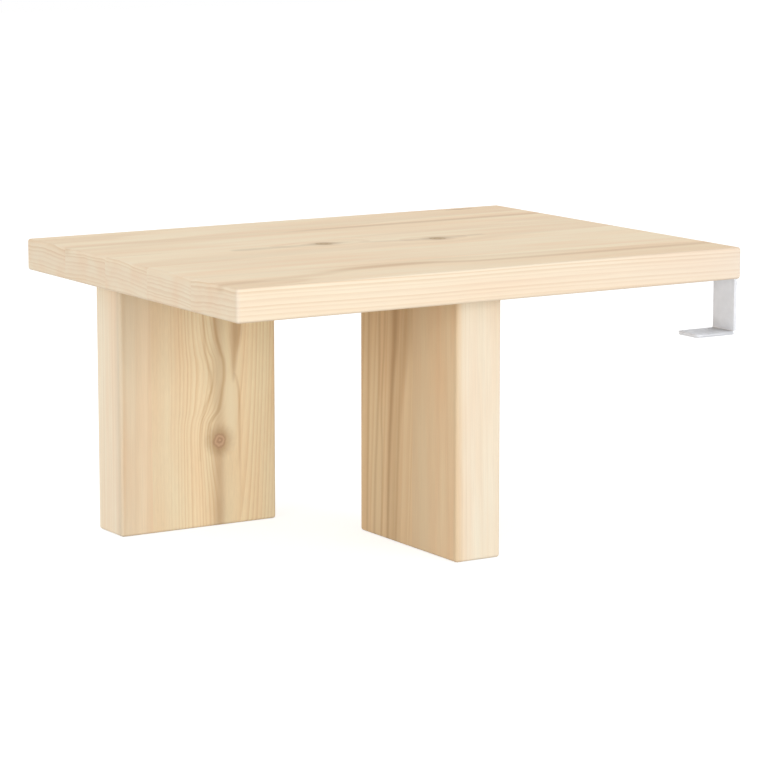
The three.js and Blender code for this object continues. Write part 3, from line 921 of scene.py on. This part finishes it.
class SteelSettings(bpy.types.PropertyGroup):
    """Sizes and colours of the bed hooks and the fittings."""

    bar_edge: bpy.props.FloatProperty(
        name="Bar edge", description="Softening of the flat bar's edges",
        default=0.4 * MM, min=0.1 * MM, max=1.2 * MM, precision=4, unit="LENGTH",
    )
    bar_colour: bpy.props.FloatVectorProperty(
        name="Bar", description="Colour of the hooks",
        default=linear("#e2e3e6"), min=0, max=1, subtype="COLOR",
    )
    bar_roughness: bpy.props.FloatProperty(
        name="Bar roughness", description="Sheen of the hooks",
        default=0.6, min=0.1, max=1, subtype="FACTOR",
    )
    plated_colour: bpy.props.FloatVectorProperty(
        name="Plated steel", description="Colour of the screws and cam bolts",
        default=linear("#d3d5d8"), min=0, max=1, subtype="COLOR",
    )
    cast_colour: bpy.props.FloatVectorProperty(
        name="Cast zinc", description="Colour of the cams",
        default=linear("#b7b9bd"), min=0, max=1, subtype="COLOR",
    )


class StageSettings(bpy.types.PropertyGroup):
    """Light, floor and camera."""

    sky: bpy.props.FloatProperty(
        name="Sky", description="Level of the light from all round",
        default=0.82, min=0, max=2, subtype="FACTOR",
    )
    left_power: bpy.props.FloatProperty(
        name="Left softbox", description="Power of the soft lamp at the left",
        default=35.5, min=0, max=500, unit="POWER",
    )
    front_power: bpy.props.FloatProperty(
        name="Front softbox", description="Power of the soft lamp in front",
        default=51, min=0, max=500, unit="POWER",
    )
    floor_colour: bpy.props.FloatVectorProperty(
        name="Floor", description="Colour of the floor",
        default=(0.65, 0.65, 0.65), min=0, max=1, subtype="COLOR",
    )
    lens: bpy.props.FloatProperty(
        name="Lens", description="Focal length of the camera",
        default=149.2, min=20, max=300, subtype="DISTANCE_CAMERA",
    )


# Bores and pockets

def nodes_like(*parts):
    """The frame's nodes whose names hold every given word."""
    return sorted(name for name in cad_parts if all(part in name for part in parts))


def box_round(nodes):
    """Two opposite corners of the box round several nodes."""
    boxes = [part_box(node) for node in nodes]
    return Vector(map(min, *(b[0] for b in boxes))), Vector(map(max, *(b[1] for b in boxes)))


def on_axis(node, height):
    """The point at a height on the upright axis of a dowel, a bolt or a screw."""
    low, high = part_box(node)
    middle = (low + high) / 2
    return Vector((middle.x, middle.y, height))


def radius_of(node):
    """The radius of an upright round piece, taken from its node's box."""
    low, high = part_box(node)
    return (high.x - low.x) / 2


def upright_bore(node, radius, bottom, top):
    """A cutter on the upright axis of a dowel, a bolt or a screw."""
    return rod(radius + GAP, on_axis(node, bottom), on_axis(node, top))


def stood(model, node, finish, height):
    """A copy of an upright model for a node, with the model's origin at a height on the node's axis."""
    return copied(model, f"{node}_{finish}", Matrix.Translation(on_axis(node, height)))


def cam_of(bolt):
    """The node of the cam that grips a bolt's node."""
    return bolt.replace("cam_bolt", "cam")


def cam_bore(name, outward):
    """A cutter for a cam, that flares a little at the mouth."""
    low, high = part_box(name)
    middle = (low + high) / 2
    depth = abs((high - low).dot(outward))
    radius = (high.z - low.z) / 2 + GAP
    mouth = middle + outward * depth / 2
    cutter = rod(radius, mouth - outward * (depth + GAP), mouth + outward * CAM_MOUTH)
    grow = (radius + 2 * CAM_MOUTH) / radius
    middle = mouth + outward * CAM_MOUTH
    resized(cutter, lambda v: (v.co - mouth).dot(outward) > 0, (grow, grow, grow), middle)
    return cutter


def bar_sides(hook):
    """The two sides of a hook's bar across the table. The outer one is its node's."""
    low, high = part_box(hook)
    if low.y < 0:
        return low.y, low.y + BAR_WIDTH
    return high.y - BAR_WIDTH, high.y


def stave_of(board, name, node, seam_axis):
    """A copy of the board cut down to one stave of the frame."""
    low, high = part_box(node)
    board_low = min(v.co[seam_axis] for v in board.data.vertices)
    board_high = max(v.co[seam_axis] for v in board.data.vertices)
    piece = copied(board, name)
    normal = Vector((0, 0, 0))
    normal[seam_axis] = 1
    cuts = []
    if low[seam_axis] - board_low > MM:
        cuts.append((low, -normal))
    if board_high - high[seam_axis] > MM:
        cuts.append((high, normal))
    for place, outward in cuts:
        only(piece)
        bpy.ops.object.mode_set(mode="EDIT")
        cut_off(place, outward)
        bpy.ops.object.mode_set(mode="OBJECT")
    return piece


class TopOperator(bpy.types.Operator):
    """Models the top as one rounded board, bored and pocketed, and parts it into its staves"""

    bl_idname = "nightstand.top"
    bl_label = "Top"

    def execute(self, context):
        wood = context.scene.nightstand_wood
        low, high = box_round(TOP_STAVES)
        board = block("board", low, high)
        bevelled(board, lambda edge: True, wood.edge_radius, segments=5)

        under = low.z - OVERRUN
        bores = [(name, radius_of(name)) for name in nodes_like("dowel")]
        bores += [(name, BOLT_THREAD) for name in nodes_like("cam_bolt")]
        bores += [(name, SCREW_SHANK) for name in nodes_like("hook_screw")]
        cutters = [upright_bore(name, radius, under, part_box(name)[1].z + GAP) for name, radius in bores]
        for name in nodes_like("bed_hook"):
            hook_low, hook_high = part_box(name)
            side_low, side_high = bar_sides(name)
            pocket_low = Vector((hook_low.x - GAP, side_low - GAP, under))
            pocket_high = Vector((hook_high.x + OVERRUN, side_high + GAP, hook_high.z))
            cutters.append(block("pocket", pocket_low, pocket_high))
        combine(board, cutters)

        for node in TOP_STAVES:
            piece = stave_of(board, f"{node}_pine", node, seam_axis=1)
            finished(piece, node, pine(node, wood))
        used_up(board)
        return {"FINISHED"}


class LegsOperator(bpy.types.Operator):
    """Models each panel leg with its bores and parts it into its two staves"""

    bl_idname = "nightstand.legs"
    bl_label = "Legs"

    def execute(self, context):
        wood = context.scene.nightstand_wood
        for leg in LEGS:
            staves = nodes_like(leg, "stave")
            low, high = box_round(staves)
            seam_axis = 0 if leg == "rear_leg" else 1
            outward = Vector((0, 1, 0)) if leg == "rear_leg" else Vector((1, 0, 0))
            square_from = high.z - MM
            panel = block("panel", low, high)
            bevelled(
                panel, lambda edge: min(end.z for end in edge_ends(edge)) < square_from,
                wood.edge_radius, segments=5,
            )

            above = high.z + OVERRUN
            cutters = []
            for name in nodes_like(leg, "dowel"):
                cutters.append(upright_bore(name, radius_of(name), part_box(name)[0].z - GAP, above))
            for name in nodes_like(leg, "cam_bolt"):
                cam = cam_of(name)
                cam_low, cam_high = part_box(cam)
                cutters.append(upright_bore(name, BOLT_COLLAR, (cam_low.z + cam_high.z) / 2, above))
                cutters.append(cam_bore(cam, outward))
            combine(panel, cutters)

            for node in staves:
                piece = stave_of(panel, f"{node}_pine", node, seam_axis)
                finished(piece, node, pine(node, wood))
            used_up(panel)
        return {"FINISHED"}


class HooksOperator(bpy.types.Operator):
    """Bends a flat bar into a bed hook with a flange, a web and a tongue, and copies it to the rear"""

    bl_idname = "nightstand.hooks"
    bl_label = "Bed hooks"

    thickness: bpy.props.FloatProperty(
        name="Bar thickness", description="Thickness of the flat bar", default=3 * MM, unit="LENGTH",
    )
    bend: bpy.props.FloatProperty(
        name="Bend radius", description="Inner radius of the bends", default=MM, unit="LENGTH",
    )
    corner: bpy.props.FloatProperty(
        name="Tip corner", description="Radius of the rounded corners at the tips",
        default=5 * MM, unit="LENGTH",
    )
    tongue: bpy.props.FloatProperty(
        name="Tongue", description="Reach of the tongue from the web's outer face",
        default=43 * MM, unit="LENGTH",
    )

    def execute(self, context):
        steel = context.scene.nightstand_steel
        low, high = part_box("front_bed_hook")
        side_low, side_high = bar_sides("front_bed_hook")
        middle_y = (side_low + side_high) / 2
        outer = self.bend + self.thickness

        # The bar's end is a flat face, drawn out along the flange, round a bend, down the web, round
        # the other bend and out along the tongue.
        deselect()
        start = Vector((low.x, middle_y, high.z - self.thickness / 2))
        bpy.ops.mesh.primitive_plane_add(size=1, location=start, rotation=(0, QUARTER, 0))
        bar = bpy.context.object
        bar.scale = (self.thickness, BAR_WIDTH, 1)
        bpy.ops.object.transform_apply()
        edit_all()
        turn_x = high.x - outer
        run = (turn_x - low.x, 0, 0)
        bpy.ops.mesh.extrude_region_move(TRANSFORM_OT_translate={"value": run})
        bpy.ops.mesh.spin(steps=10, angle=QUARTER, center=(turn_x, middle_y, high.z - outer), axis=(0, -1, 0))
        drop = (0, 0, low.z - high.z + 2 * outer)
        bpy.ops.mesh.extrude_region_move(TRANSFORM_OT_translate={"value": drop})
        bpy.ops.mesh.spin(steps=10, angle=QUARTER, center=(turn_x, middle_y, low.z + outer), axis=(0, -1, 0))
        run = (high.x - self.tongue - turn_x, 0, 0)
        bpy.ops.mesh.extrude_region_move(TRANSFORM_OT_translate={"value": run})
        sewn()

        tips = (low.x, high.x - self.tongue)

        def at_a_tip(edge):
            a, b = edge_ends(edge)
            upright = abs(a.x - b.x) < NEAR and abs(a.y - b.y) < NEAR
            return upright and min(abs(a.x - tip) for tip in tips) < NEAR

        bevelled(bar, at_a_tip, self.corner, segments=8)
        soft = bar.modifiers.new("soft edges", "BEVEL")
        soft.width = steel.bar_edge
        soft.segments = 3
        soft.limit_method = "ANGLE"
        soft.angle_limit = math.radians(40)
        bpy.ops.object.modifier_apply(modifier=soft.name)

        combine(bar, [self.countersink(name) for name in nodes_like("front_hook_screw")])
        metal = satin_steel(steel)
        rear_low, _ = bar_sides("rear_bed_hook")
        for side, shift in (("front", 0), ("rear", rear_low - side_low)):
            piece = copied(bar, f"{side}_bed_hook_steel", Matrix.Translation((0, shift, 0)))
            finished(piece, f"{side}_bed_hook", metal)
        used_up(bar)
        return {"FINISHED"}

    def countersink(self, name):
        """A cutter with the shape of a screw's head and shank, a little wider."""
        head = radius_of(name) + GAP
        shank = SCREW_SHANK + GAP
        beyond = self.thickness + OVERRUN
        cutter = turned("countersink", [
            (0, -OVERRUN),
            (head, -OVERRUN),
            (head, 0),
            (shank, SCREW_HEAD),
            (shank, beyond),
            (0, beyond),
        ], steps=48)
        cutter.data.transform(Matrix.Translation(on_axis(name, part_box(name)[0].z)))
        return cutter


def cross(span, width, depth):
    """Two crossed wedges that narrow upwards, the recess that a driver fits."""
    arms = []
    for size in ((span, width), (width, span)):
        half = Vector((size[0] / 2, size[1] / 2, 0))
        low = -half - Vector((0, 0, OVERRUN))
        high = half + Vector((0, 0, depth))
        arm = block("arm", low, high)
        resized(arm, lambda v: v.co.z > 0, (CROSS_TAPER, CROSS_TAPER, 1), (0, 0, depth))
        arms.append(arm)
    return arms


class DowelsOperator(bpy.types.Operator):
    """Flutes and chamfers a beech dowel and sets one in each of its bores"""

    bl_idname = "nightstand.dowels"
    bl_label = "Dowels"

    radius: bpy.props.FloatProperty(
        name="Radius", description="Radius of the dowel over its ridges", default=4 * MM, unit="LENGTH",
    )
    flutes: bpy.props.IntProperty(
        name="Flutes", description="Grooves round the dowel", default=18, min=6, subtype="UNSIGNED",
    )
    flute_depth: bpy.props.FloatProperty(
        name="Flute depth", description="Depth of each groove", default=0.35 * MM, unit="LENGTH",
    )
    chamfer: bpy.props.FloatProperty(
        name="Chamfer", description="Chamfer at both ends", default=MM, unit="LENGTH",
    )

    def execute(self, context):
        names = nodes_like("dowel")
        low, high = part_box(names[0])
        length = high.z - low.z
        steps = self.flutes * 4
        dowel = rod(self.radius, Vector((0, 0, 0)), Vector((0, 0, length)), steps)

        def in_a_groove(vert):
            turn = math.atan2(vert.co.y, vert.co.x) / ROUND * steps
            return round(turn) % 4 == 0

        def at_an_end(edge):
            a, b = edge_ends(edge)
            return abs(a.z - b.z) < MM

        bevelled(dowel, at_an_end, self.chamfer, segments=2)
        share = 1 - self.flute_depth / self.radius
        resized(dowel, in_a_groove, (share, share, 1), (0, 0, 0))
        wood = beech(context.scene.nightstand_wood)
        for name in names:
            piece = stood(dowel, name, "beech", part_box(name)[0].z)
            finished(piece, name, wood, smooth_angle=20)
        used_up(dowel)
        return {"FINISHED"}


class CamFittingsOperator(bpy.types.Operator):
    """Turns the cam bolts and casts the cams that draw each leg up against the top"""

    bl_idname = "nightstand.cam_fittings"
    bl_label = "Cam fittings"

    def execute(self, context):
        steel = context.scene.nightstand_steel
        bolt = self.bolt()
        plated = plated_steel(steel)
        for name in nodes_like("cam_bolt"):
            piece = stood(bolt, name, "plated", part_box(name)[1].z - BOLT_THREAD_LENGTH)
            finished(piece, name, plated)
        used_up(bolt)

        cam = self.cam()
        zinc = cast_zinc(steel)
        for leg, axis, turn in (("rear_leg", 1, 0), ("front_leg", 0, -QUARTER)):
            lie = Matrix.Rotation(turn, 4, "Z") @ Matrix.Rotation(QUARTER, 4, "X")
            for name in map(cam_of, nodes_like(leg, "cam_bolt")):
                low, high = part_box(name)
                face = (low + high) / 2
                face[axis] = high[axis]
                piece = copied(cam, f"{name}_zinc", Matrix.Translation(face) @ lie)
                finished(piece, name, zinc)
        used_up(cam)
        return {"FINISHED"}

    def bolt(self):
        """The bolt hangs from the origin, where its collar meets the underside of the top."""
        head_centre = -BOLT_LENGTH_BELOW
        neck_top = head_centre + CAM_RADIUS + GAP
        shoulder = 1.5 * MM
        collar_bottom = -2 * MM
        soft = 0.2 * MM
        point = 1.2 * MM
        point_radius = 0.9 * MM
        join = math.acos(BOLT_NECK / BOLT_BALL)
        steps = 14
        profile = []
        for i in range(steps + 1):
            angle = -QUARTER + (join + QUARTER) * i / steps
            radius = BOLT_BALL * math.cos(angle) if i else 0
            profile.append((radius, head_centre + BOLT_BALL * math.sin(angle)))
        profile += [
            (BOLT_NECK, neck_top),
            (BOLT_SHANK, neck_top + shoulder),
            (BOLT_SHANK, collar_bottom - soft),
            (BOLT_COLLAR - soft, collar_bottom),
            (BOLT_COLLAR, collar_bottom + soft),
            (BOLT_COLLAR, 0),
            (BOLT_CORE, 0),
            (BOLT_CORE, BOLT_THREAD_LENGTH - point),
            (point_radius, BOLT_THREAD_LENGTH),
            (0, BOLT_THREAD_LENGTH),
        ]
        bolt = turned("bolt", profile, steps=48)
        # The thread's root lies 0.05 mm inside the core, and it runs from inside the collar.
        thread = threaded_rod(
            BOLT_CORE - 0.05 * MM, BOLT_THREAD, BOLT_PITCH, -0.5 * MM, BOLT_THREAD_LENGTH - 1.4 * MM,
        )
        combine(bolt, [thread], "UNION")
        return bolt

    def cam(self):
        """The cam's outer face lies at the origin, its body runs along +Z and the bolt comes in along +Y."""
        rim = 0.5 * MM
        soft = 0.15 * MM
        body = turned("cam", [
            (0, 0),
            (CAM_RADIUS - rim, 0),
            (CAM_RADIUS - soft, soft),
            (CAM_RADIUS, rim),
            (CAM_RADIUS, CAM_HEIGHT - rim),
            (CAM_RADIUS - rim, CAM_HEIGHT),
            (0, CAM_HEIGHT),
        ], steps=72)
        head_room = BOLT_BALL + GAP
        neck_room = BOLT_NECK + GAP
        beyond = CAM_RADIUS + OVERRUN
        mouth = QUARTER + CAM_LOCK
        hollow_from = CAM_BOLT_DEPTH - head_room
        hollow_to = CAM_HEIGHT + OVERRUN

        # The hollow winds in from a wide mouth to where the ball head is held.
        steps = 48
        same_way = 0.9999
        hollow = rod(head_room, Vector((0, 0, hollow_from)), Vector((0, 0, hollow_to)), steps)
        for i in range(steps):
            angle = ROUND * i / steps
            turn = (angle - QUARTER) % ROUND
            wound = turn / CAM_LOCK if turn < CAM_LOCK else (ROUND - turn) / (ROUND - CAM_LOCK)
            grow = 1 + CAM_WIND * wound / head_room
            aim = Vector((math.cos(angle), math.sin(angle)))
            resized(
                hollow, lambda v: v.co.xy.normalized().dot(aim) > same_way, (grow, grow, 1), (0, 0, 0),
            )
        channel_low = Vector((0, -head_room, hollow_from))
        channel = block("channel", channel_low, Vector((beyond, head_room, hollow_to)))
        channel.data.transform(Matrix.Rotation(mouth, 4, "Z"))

        # The neck's slot is a flat sector.
        slot_start = QUARTER - math.asin(neck_room / head_room)
        deselect()
        bpy.ops.mesh.primitive_plane_add(size=1, location=(0, 0, 0), rotation=(QUARTER, 0, 0))
        slot = bpy.context.object
        slot.scale = (beyond, 2 * neck_room, 1)
        slot.location = (beyond / 2, 0, CAM_BOLT_DEPTH)
        bpy.ops.object.transform_apply()
        slot.data.transform(Matrix.Rotation(slot_start, 4, "Z"))
        edit_all()
        bpy.ops.mesh.spin(steps=32, angle=mouth - slot_start, center=(0, 0, 0), axis=(0, 0, 1))
        sewn()

        # A shallow arrow on the outer face shows where the mouth is.
        deselect()
        bpy.ops.mesh.primitive_cylinder_add(
            vertices=3, radius=1.1 * MM, depth=0.6 * MM, location=(0, 5.6 * MM, 0),
        )
        arrow = bpy.context.object
        bpy.ops.object.transform_apply()
        recess = cross(span=8 * MM, width=1.6 * MM, depth=3 * MM)
        combine(body, [hollow, channel, slot, arrow, *recess])
        return body


class ScrewsOperator(bpy.types.Operator):
    """Models a countersunk wood screw and sets two in each bed hook"""

    bl_idname = "nightstand.screws"
    bl_label = "Hook screws"

    def execute(self, context):
        names = nodes_like("hook_screw")
        low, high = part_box(names[0])
        head = radius_of(names[0])
        length = high.z - low.z
        soft = 0.15 * MM
        screw = turned("screw", [
            (0, 0),
            (head - soft, 0),
            (head, soft),
            (head, 2 * soft),
            (0.8 * SCREW_SHANK, SCREW_HEAD),
            (SCREW_CORE, SCREW_HEAD + 0.6 * MM),
            (SCREW_CORE, length - 4 * MM),
            (0.55 * SCREW_CORE, length - 1.8 * MM),
            (0, length),
        ], steps=48)
        # The thread's root lies 0.08 mm inside the core, and a cone brings its crest to a point.
        thread = threaded_rod(
            SCREW_CORE - 0.08 * MM, SCREW_SHANK, SCREW_PITCH, SCREW_HEAD + MM, length - MM,
        )
        wide = SCREW_SHANK + MM
        tip = length - 0.5 * MM
        cone = turned("cone", [(0, 0), (wide, 0), (wide, tip - 6 * MM), (0.5 * MM, tip), (0, tip)], steps=48)
        combine(thread, [cone], "INTERSECT")
        combine(screw, [thread], "UNION")
        combine(screw, cross(span=4 * MM, width=MM, depth=1.6 * MM))
        plated = plated_steel(context.scene.nightstand_steel)
        for name in names:
            piece = stood(screw, name, "plated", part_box(name)[0].z)
            finished(piece, name, plated)
        used_up(screw)
        return {"FINISHED"}


class StageOperator(bpy.types.Operator):
    """Lays a pale floor, sets soft studio light and stands the camera at the picture's angle"""

    bl_idname = "nightstand.stage"
    bl_label = "Stage"

    def execute(self, context):
        stage = context.scene.nightstand_stage
        context.scene.view_settings.view_transform = "Standard"
        self.floor(stage)
        self.sky(context.scene, stage)
        self.softbox("left_softbox", turn=-60, rise=10, power=stage.left_power)
        self.softbox("front_softbox", turn=14, rise=10, power=stage.front_power)
        self.camera(context.scene, stage)
        return {"FINISHED"}

    def seen(self, node):
        """1 for the rays that show a surface to the eye, directly, mirrored or through glass."""
        path = node("LightPath")
        shown = path["Is Camera Ray"]
        for kind in ("Is Glossy Ray", "Is Transmission Ray"):
            shown = node("Math", {0: shown, 1: path[kind]}, operation="ADD", use_clamp=True)[0]
        return shown

    def floor(self, stage):
        """A plane that bounces light as a pale floor does. The eye sees it half matt and half glowing,
        so it shows white with a faint shadow, and from below it is clear."""
        deselect()
        bpy.ops.mesh.primitive_plane_add(size=FLOOR_SIZE, location=(0, 0, -FLOOR_DROP))
        floor = bpy.context.object
        floor.name = "studio_floor"
        material, node = new_material("matt white studio floor")
        seen = self.seen(node)
        colour = node(
            "Mix", {"Factor": seen, "A": rgba(stage.floor_colour), "B": FLOOR_SEEN}, **MIX,
        )["Result"]
        glow = node("Math", {0: seen, 1: FLOOR_GLOW}, **MULTIPLY)[0]
        matt = node("BsdfDiffuse", {"Color": colour})[0]
        light = node("Emission", {"Color": (1, 1, 1, 1), "Strength": glow})[0]
        both = node("AddShader", {0: matt, 1: light})[0]
        clear = node("BsdfTransparent")[0]
        back = node("NewGeometry")["Backfacing"]
        surface = node("MixShader", {0: back, 1: both, 2: clear})[0]
        node("OutputMaterial", {"Surface": surface})
        floor.data.materials.append(material)

    def sky(self, scene, stage):
        """Even light from all round, behind which the eye sees plain white."""
        world = bpy.data.worlds.new("white studio")
        world.use_nodes = True
        world.node_tree.nodes.clear()
        node = partial(add_node, world.node_tree)
        shown = self.seen(node)
        level = node("MapRange", {"Value": shown, "To Min": stage.sky, "To Max": 1.0})[0]
        light = node("Background", {"Color": (1, 1, 1, 1), "Strength": level})[0]
        node("OutputWorld", {"Surface": light})
        scene.world = world

    def softbox(self, name, turn, rise, power):
        """A square soft lamp that faces the table from a compass angle and a height angle, in degrees."""
        deselect()
        turn, rise = math.radians(turn), math.radians(rise)
        level = math.cos(rise)
        back = Vector((math.sin(turn) * level, -math.cos(turn) * level, math.sin(rise)))
        bpy.ops.object.light_add(
            type="AREA",
            location=LAMP_AIM + back * LAMP_DISTANCE,
            rotation=(-back).to_track_quat("-Z", "Y").to_euler(),
        )
        lamp = bpy.context.object
        lamp.name = name
        lamp.data.size = LAMP_SIZE
        lamp.data.energy = power

    def camera(self, scene, stage):
        """Stands where the picture was taken from."""
        deselect()
        bpy.ops.object.camera_add(location=CAMERA_PLACE, rotation=[math.radians(v) for v in CAMERA_TURN])
        camera = bpy.context.object
        camera.name = "picture_camera"
        camera.data.lens = stage.lens
        camera.data.sensor_width = 36
        scene.camera = camera


class NightstandPanel(bpy.types.Panel):
    """Lists the nightstand's settings and pieces."""

    bl_label = "Nightstand"
    bl_idname = "VIEW3D_PT_nightstand"
    bl_space_type = "VIEW_3D"
    bl_region_type = "UI"
    bl_category = "Nightstand"

    def draw(self, context):
        for step in STEPS:
            self.layout.operator(step.bl_idname)
        for group in SETTINGS:
            settings = getattr(context.scene, group)
            for name in settings.__annotations__:
                self.layout.prop(settings, name)


SETTINGS = {
    "nightstand_wood": WoodSettings,
    "nightstand_steel": SteelSettings,
    "nightstand_stage": StageSettings,
}
STEPS = (
    StageOperator,
    TopOperator,
    LegsOperator,
    HooksOperator,
    ScrewsOperator,
    DowelsOperator,
    CamFittingsOperator,
)


def register():
    for kind in (*SETTINGS.values(), *STEPS, NightstandPanel):
        bpy.utils.register_class(kind)
    for name, kind in SETTINGS.items():
        setattr(bpy.types.Scene, name, bpy.props.PointerProperty(type=kind))


def unregister():
    for name in SETTINGS:
        delattr(bpy.types.Scene, name)
    for kind in reversed((*SETTINGS.values(), *STEPS, NightstandPanel)):
        bpy.utils.unregister_class(kind)


def main():
    register()
    for step in STEPS:
        area, name = step.bl_idname.split(".")
        getattr(getattr(bpy.ops, area), name)()


if __name__ == "__main__":
    main()
